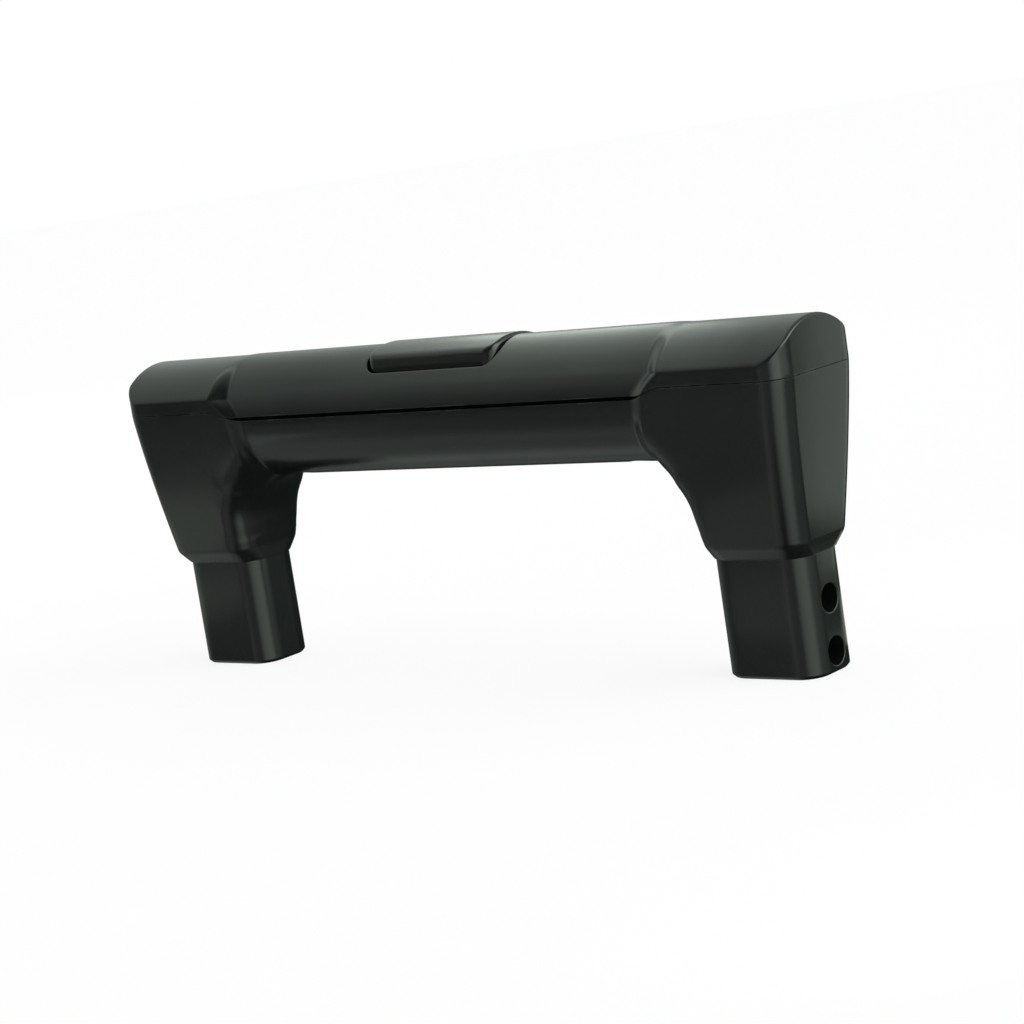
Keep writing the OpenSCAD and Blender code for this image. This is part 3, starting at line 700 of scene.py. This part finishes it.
pocket_x, pocket_y = button_length / 2 - button_wall, button_half_y - button_lean - button_wall
pocket_top = crown_height(pocket_y, button_crown, button_top) - button_wall
tab_top = bar_mid + bore_z * math.sqrt(1 - (tab_width / 2 / bore_y) ** 2) - 0.3
work = [("DIFFERENCE", block(-pocket_x, pocket_x, pocket_y, button_foot - 1, pocket_top, 1.0)),
        ("UNION", block(-pocket_x - 0.8, pocket_x + 0.8, button_wall / 2, link_top, pocket_top + 0.8,
                        0.2, 0.15))]
for side in (-1, 1):
    tab = sorted((side * pocket_x, side * (button_length / 2 + tab_length + button_gap)))
    leg = sorted((side * (snap_offset - 1), side * (snap_offset + 1)))
    hook = sorted((side * (snap_offset + 0.3), side * (snap_offset + 1.7)))
    work.append(("UNION", block(*tab, tab_width / 2, tab_top - button_wall, tab_top, 0.5)))
    work.append(("UNION", block(*leg, 2.0, link_bottom - 1.4, pocket_top + 0.7, 0.3, 0.15)))
    work.append(("UNION", block(*hook, 2.0, link_bottom - 1.4, link_bottom, 0.3, 0.15)))
combine(button, *work)
finish_faces(button)
button_black = moulded_plastic("button_gloss_black", (0.0036, 0.0044, 0.0041, 1),
                               (0.0056, 0.0068, 0.0063, 1), (0.05, 0.053, 0.052, 1), (0.16, 0.22))
finish_piece(button, button_black, "release", ["release_button"])


# Upper cover.
# The second black moulding closes the handle from above. It is round along the grip and becomes a
# crowned block over each leg, and a fine groove marks where it meets the lower body.
crown_radius, crown_rim = 14.5, 0.6
crown = crest - 0.2
groove_depth, groove_lean, crease_drop, crease_run = 0.9, 0.8, 0.4, 0.332
bite_mouth, bite_diameter = 3.8, 3.0


def groove_height(x):
    """Height of the groove at the parting line, open along the grip and nearly shut at the blocks."""
    return mix(0.7, 0.12, corner_share(x, 0))


def cover_half(x, half_y, groove_y, base):
    """Half section of the cover at x, from the groove at the parting line up to the crest."""
    low = seam(x) + groove_height(x)
    top = crown - round_off(half_length - x, crown_rim)
    crease = Vector((half_y, crown_height(half_y, crown_radius, top)))
    over = half_y - crease_run
    below = Vector((half_y, crease.y - crease_drop))
    beside = Vector((over, crown_height(over, crown_radius, top)))
    low_angle = math.asin((low - bar_mid) / (bar_height / 2))
    under, above = math.radians(24), math.radians(30)

    def bar_point(t):
        return Vector((bar_depth / 2 * math.cos(t), bar_mid + bar_height / 2 * math.sin(t)))

    half = []
    for t in steps(10)[:-1]:
        flat = Vector((half_y, mix(low, below.y, t)))
        half.append(bar_point(mix(low_angle, under, t)).lerp(flat, corner_share(x, t)))
    for t in steps(8):
        bend = below.lerp(crease, t).lerp(crease.lerp(beside, t), t)
        half.append(bar_point(mix(under, above, t)).lerp(bend, corner_share(x, 1)))
    sweep = math.asin(over / crown_radius)
    for t in steps(28)[1:]:
        y = crown_radius * math.sin(mix(sweep, 0, t))
        bow = Vector((y, crown_height(y, crown_radius, top)))
        half.append(bar_point(mix(above, math.pi / 2, t)).lerp(bow, corner_share(x, 1)))
    inside = half[0].x - groove_depth if groove_y is None else groove_y
    return [(inside - groove_lean * (low - base), base), (inside, low)] + [tuple(p) for p in half]


cover_sections = []
for x in steps(40, bar_end, block_start):
    cover_sections.append(across(x, cover_half(x, corner_y, None, seam(x))))
inner_radius = edge_radius - groove_depth
groove_end = half_length - groove_depth
end_xs = [half_length - edge_radius * (1 - math.cos(math.radians(psi))) for psi in steps(18, 90, 0)]
# Two sections in one place make the wall of the groove across the end.
for x in sorted(end_xs + [groove_end] * 2):
    half_y = corner_y - round_off(half_length - x, edge_radius)
    at_end = x > groove_end or (x == groove_end and cover_sections[-1][0][0] == groove_end)
    groove_y = corner_y - groove_depth - round_off(max(0.0, groove_end - x), inner_radius)
    if at_end:
        groove_y = min(groove_y, half_y * 0.95)
    cover_sections.append(across(x, cover_half(x, half_y, groove_y, seam(x) + at_end * groove_height(x))))
cover_shell = loft(mirrored(cover_sections) + cover_sections)
round_edges(cover_shell, 0.16, lambda p: abs(p.z - seam(abs(p.x)) - groove_height(abs(p.x))) < 0.02
            and (abs(p.y) > bar_half(parting) - 0.6 or abs(p.x) > half_length - 4))
cover = solid("upper_cover_moulding", cover_shell)


def corner_hollow(side):
    """Hollow over a leg, one wall inside the crowned block."""
    inner_y, inner_r = corner_y - wall, crown_radius - wall
    sweep = math.asin(inner_y / inner_r)
    base = crown - crown_radius
    outline = [(-inner_y, parting - 1)]
    outline += [(inner_r * math.sin(a), base + inner_r * math.cos(a)) for a in steps(24, -sweep, sweep)]
    outline += [(inner_y, parting - 1)]
    return loft([[(side * x, y, z) for y, z in outline] for x in (block_start, half_length - wall)])


def button_opening(lip=0.3):
    """Opening for the button, whose rim is rounded and follows the round top of the bar."""
    sizes = button_length / 2, button_half_y, button_corner
    reach_x, reach_y, corner = [size + button_gap for size in sizes]
    rings = [[(x, y, parting - 1) for x, y in rounded_plan(-reach_x, reach_x, reach_y, corner)]]
    for t in steps(6, 0, math.pi / 2):
        g = lip * (1 - math.cos(t))
        plan = rounded_plan(-reach_x - g, reach_x + g, reach_y + g, corner + g)
        rings.append([(x, y, bar_surface(y) - lip + lip * math.sin(t)) for x, y in plan])
    rings.append([(x, y, crest + 1) for x, y, _ in rings[-1]])
    return loft(rings)


work = [("DIFFERENCE", bar_bore()), ("DIFFERENCE", corner_hollow(1)), ("DIFFERENCE", corner_hollow(-1)),
        ("DIFFERENCE", button_opening())]
for side in (-1, 1):
    boss = [(boss_diameter / 2 - 0.3, post_top), (boss_diameter / 2, post_top + 0.3),
            (boss_diameter / 2, crest - wall / 2)]
    bite = [(bite_mouth / 2, post_top - 1), (bite_mouth / 2, post_top), (bite_diameter / 2, post_top + 0.4),
            (bite_diameter / 2, post_top + 10)]
    work.append(("UNION", turned(boss, (side * screw_offset, 0, 0))))
    work.append(("DIFFERENCE", turned(bite, (side * screw_offset, 0, 0))))
combine(cover, *work)
finish_faces(cover)
cover_black = moulded_plastic("cover_gloss_black", (0.0044, 0.0054, 0.0050, 1), (0.0067, 0.0081, 0.0075, 1),
                              (0.05, 0.053, 0.052, 1), (0.18, 0.25))
finish_piece(cover, cover_black, "handle", ["upper_cover"])


# Cover screws.
# Two zinc plated self-tapping screws come up through the posts of the lower body and bite into the
# bosses of the cover. Their pan heads with cross recesses sit sunk under the grip.
screw_diameter, screw_core, head_diameter, head_height, thread_pitch = 3.0, 2.3, 5.6, 2.0, 1.35
screw_tip = post_top + 9.0

head_low = screw_seat - head_height
dome = [(head_diameter / 2 - 1.1 * (1 - math.cos(t)), head_low + 1.1 * (1 - math.sin(t)))
        for t in steps(8, math.pi / 2, 0)]
pan = dome + [(head_diameter / 2, screw_seat), (screw_core / 2, screw_seat),
              (screw_core / 2, screw_tip - 1.6), (0.35, screw_tip)]
pattern = solid("screw_pattern", turned(pan, (0, 0, 0), sides=40))
arms = []
for wide, narrow in ((1.5, 0.32), (0.32, 1.5)):
    corners = (-wide, -narrow), (wide, -narrow), (wide, narrow), (-wide, narrow)
    levels = (head_low - 0.5, 1.15), (head_low + 1.2, 0.7)
    rings = [[(x * s, y * s, z) for x, y in corners] for z, s in levels]
    arms.append(("DIFFERENCE", loft(rings)))
combine(pattern, *arms)

thread = bmesh.new()
per_turn, rows = 28, []
thread_start, thread_run = screw_seat + 2.2, screw_tip - 1.0 - screw_seat - 2.2
count = int(per_turn * thread_run / thread_pitch)
for i in range(count + 1):
    angle, z = 2 * math.pi * i / per_turn, thread_start + thread_run * i / count
    fade = min(1.0, i / 12, (count - i) / 12)
    reach = mix(screw_core / 2, screw_diameter / 2, fade)
    root = screw_core / 2 - 0.1
    profile = (root, -0.32), (reach, -0.05), (reach, 0.05), (root, 0.32)
    rows.append([thread.verts.new((r * math.cos(angle), r * math.sin(angle), z + dz)) for r, dz in profile])
for low, high in zip(rows, rows[1:]):
    for j in range(4):
        k = (j + 1) % 4
        thread.faces.new((low[j], low[k], high[k], high[j]))
thread.faces.new(rows[0])
thread.faces.new(rows[-1])
bmesh.ops.recalc_face_normals(thread, faces=thread.faces)
combine(pattern, ("UNION", thread))
pattern.data.shade_smooth()
pattern.data.set_sharp_from_angle(angle=math.radians(32))

screw_steel = drawn_steel("zinc_plated_screw", (0.52, 0.53, 0.54, 1), (0.36, 0.36, 0.33, 1), (0.24, 0.40),
                          (600.0, 600.0, 300.0))
pair_tree, given, result = new_group(
    "pair_of_screws",
    {"Pattern": ("Object", None), "Spacing": ("Float", 0.082), "Finish": ("Material", None)},
    {"Geometry": "Geometry"}, "GeometryNodeTree")
half_spacing = math_node(pair_tree, "MULTIPLY", given["Spacing"], -0.5)
places = add(pair_tree, "GeometryNodeMeshLine", Count=2,
             Start_Location=add(pair_tree, "ShaderNodeCombineXYZ", half_spacing).outputs[0],
             Offset=add(pair_tree, "ShaderNodeCombineXYZ", given["Spacing"]).outputs[0])
screw = add(pair_tree, "GeometryNodeObjectInfo", given["Pattern"])
pair = add(pair_tree, "GeometryNodeInstanceOnPoints", places.outputs[0], Instance=screw.outputs["Geometry"])
pair = add(pair_tree, "GeometryNodeRealizeInstances", pair.outputs[0])
pair = add(pair_tree, "GeometryNodeSetMaterial", pair.outputs[0], Material=given["Finish"])
pair_tree.links.new(pair.outputs[0], result["Geometry"])
screws = grown("cover_screws_steel", pair_tree, Pattern=pattern, Spacing=2 * screw_offset / 1000,
               Finish=screw_steel)
bpy.data.objects.remove(pattern)
finish_piece(screws, screw_steel, "handle", ["cover_screws"])


# Studio.
# A white table top stands in a large soft tent that is dim near the horizon, so the front faces stay black.
# Cards beside the handle light its edges, and an arched strip of panels lies along the top of the grip.
table = bmesh.new()
bmesh.ops.create_circle(table, cap_ends=True, radius=4000, segments=96)
floor = solid("table_top", table)
floor_white = bpy.data.materials.new("white_table")
floor_white.use_nodes = True
tree = floor_white.node_tree
paper = tree.nodes["Principled BSDF"]
where = add(tree, "ShaderNodeTexCoord").outputs["Object"]
tree.links.new(tinted(tree, noise(tree, where, 60, 3), (0.94, 0.92, 0.93, 1), (0.97, 0.95, 0.96, 1)),
               paper.inputs["Base Color"])
paper.inputs["Roughness"].default_value = 0.9
paper.inputs["Specular IOR Level"].default_value = 0.1
glow = add(tree, "ShaderNodeEmission", (1, 1, 1, 1), 1.0)
seen = math_node(tree, "MULTIPLY", add(tree, "ShaderNodeLightPath").outputs["Is Camera Ray"], 0.87)
shown = add(tree, "ShaderNodeMixShader", seen, paper.outputs[0], glow.outputs[0])
tree.links.new(shown.outputs[0], tree.nodes["Material Output"].inputs["Surface"])
floor.data.materials.append(floor_white)
floor.visible_glossy = False

world = bpy.data.worlds.new("soft_tent")
bpy.context.scene.world = world
world.use_nodes = True
tree = world.node_tree
tent = tree.nodes["Background"]
tent.inputs["Color"].default_value = (0.90, 1.0, 0.93, 1)
way = add(tree, "ShaderNodeTexCoord").outputs["Generated"]


def glow_towards(direction, start, full, strength):
    """Light that grows from the start to the full closeness to a direction."""
    near = add(tree, "ShaderNodeVectorMath", way, Vector(direction).normalized(), operation="DOT_PRODUCT")
    return ranged(tree, near.outputs["Value"], start, full, 0.0, strength, interpolation_type="SMOOTHSTEP")


# Glows by direction: four above the horizon, three below it and four near it.
light = 0.03
for direction, start, full, strength in (
        ((-0.6, 0.3, 0.74), 0.3, 0.95, 0.72),
        ((-0.6, -0.7, 0.38), 0.9, 0.98, 0.28),
        ((0.85, 0.1, 0.5), 0.75, 0.96, 4.0),
        ((0.53, 0.75, 0.4), 0.85, 0.97, 0.9),
        ((-0.45, -0.75, -0.5), 0.86, 0.95, 0.2),
        ((-0.64, -0.15, -0.75), 0.85, 0.98, 0.34),
        ((-0.6, 0.35, -0.7), 0.9, 1.0, 0.2),
        ((-1, -0.2, -0.15), 0.8, 0.98, 0.2),
        ((-0.1, -0.98, -0.15), 0.85, 0.97, 0.3),
        ((1, 0, -0.1), 0.6, 0.95, 0.28),
        ((0.8, -0.58, -0.16), 0.78, 0.97, 1.2)):
    light = math_node(tree, "ADD", light, glow_towards(direction, start, full, strength))
tree.links.new(light, tent.inputs["Strength"])
white = add(tree, "ShaderNodeBackground", (1, 1, 1, 1), 1.0)
seen = add(tree, "ShaderNodeLightPath").outputs["Is Camera Ray"]
shown = add(tree, "ShaderNodeMixShader", seen, tent.outputs[0], white.outputs[0])
tree.links.new(shown.outputs[0], tree.nodes["World Output"].inputs["Surface"])


def soft_panel(name, place, away, width, height, strength):
    """Panel of even light, hidden from the camera, whose back looks along `away`."""
    panel = bpy.data.lights.new(name, "AREA")
    panel.shape, panel.size, panel.size_y = "RECTANGLE", width / 1000, height / 1000
    panel.energy = strength * math.pi * panel.size * panel.size_y
    panel.color = (0.89, 1.0, 0.89)
    lamp = bpy.data.objects.new(name, panel)
    turn = Vector(away).to_track_quat("Z", "Y").to_matrix().to_4x4()
    lamp.matrix_world = Matrix.Translation(Vector(place) / 1000) @ turn
    lamp.visible_camera = False
    bpy.context.scene.collection.objects.link(lamp)


soft_panel("end_card", (106, 82, 30), (0.62, 0.785, 0), 50, 60, 0.9)
soft_panel("left_card", (-141, -50, 1), (0, 0, -1), 70, 70, 0.4)
soft_panel("right_card", (35, -55, 1), (0, 0, -1), 45, 45, 0.2)
soft_panel("heel_card", (70, 38, 1), (0, 0, -1), 36, 44, 0.6)
soft_panel("edge_card", (195, -95, 40), (0.81, -0.58, 0), 90, 60, 0.6)
arch_centre, arch_reach = Vector((-385, 0, 55)), 530
strip = {30: 1.5, 50: 1.4, 70: 1.25, 90: 1.1, 110: 0.85, 130: 0.6, 150: 0.25}
for degrees, strength in strip.items():
    lean = Vector((0, math.cos(math.radians(degrees)), math.sin(math.radians(degrees))))
    soft_panel(f"arched_strip_{degrees}", arch_centre + arch_reach * lean, lean, 130, 187, strength)

azimuth, elevation, roll = math.radians(40.593), math.radians(8.934), math.radians(8.733)
distance, focal_pixels, aim = 487.42, 2654.12, Vector((8.03, 0, 28.70))
away = Vector((math.sin(azimuth), -math.cos(azimuth), 0))
back = math.cos(elevation) * away + Vector((0, 0, math.sin(elevation)))
level = Vector((math.cos(azimuth), math.sin(azimuth), 0))
upright = back.cross(level)
right = math.cos(roll) * level - math.sin(roll) * upright
up = math.sin(roll) * level + math.cos(roll) * upright
lens = bpy.data.cameras.new("photo_view")
sensor, picture_width = 36.0, 1024
lens.sensor_fit, lens.sensor_width, lens.lens = "HORIZONTAL", sensor, focal_pixels * sensor / picture_width
lens.clip_start, lens.clip_end = 0.01, 20.0
camera = bpy.data.objects.new("photo_view", lens)
facing = Matrix((right, up, back)).transposed().to_4x4()
camera.matrix_world = Matrix.Translation((aim + back * distance) / 1000) @ facing
bpy.context.scene.collection.objects.link(camera)
bpy.context.scene.camera = camera
bpy.context.scene.view_settings.view_transform = "Standard"
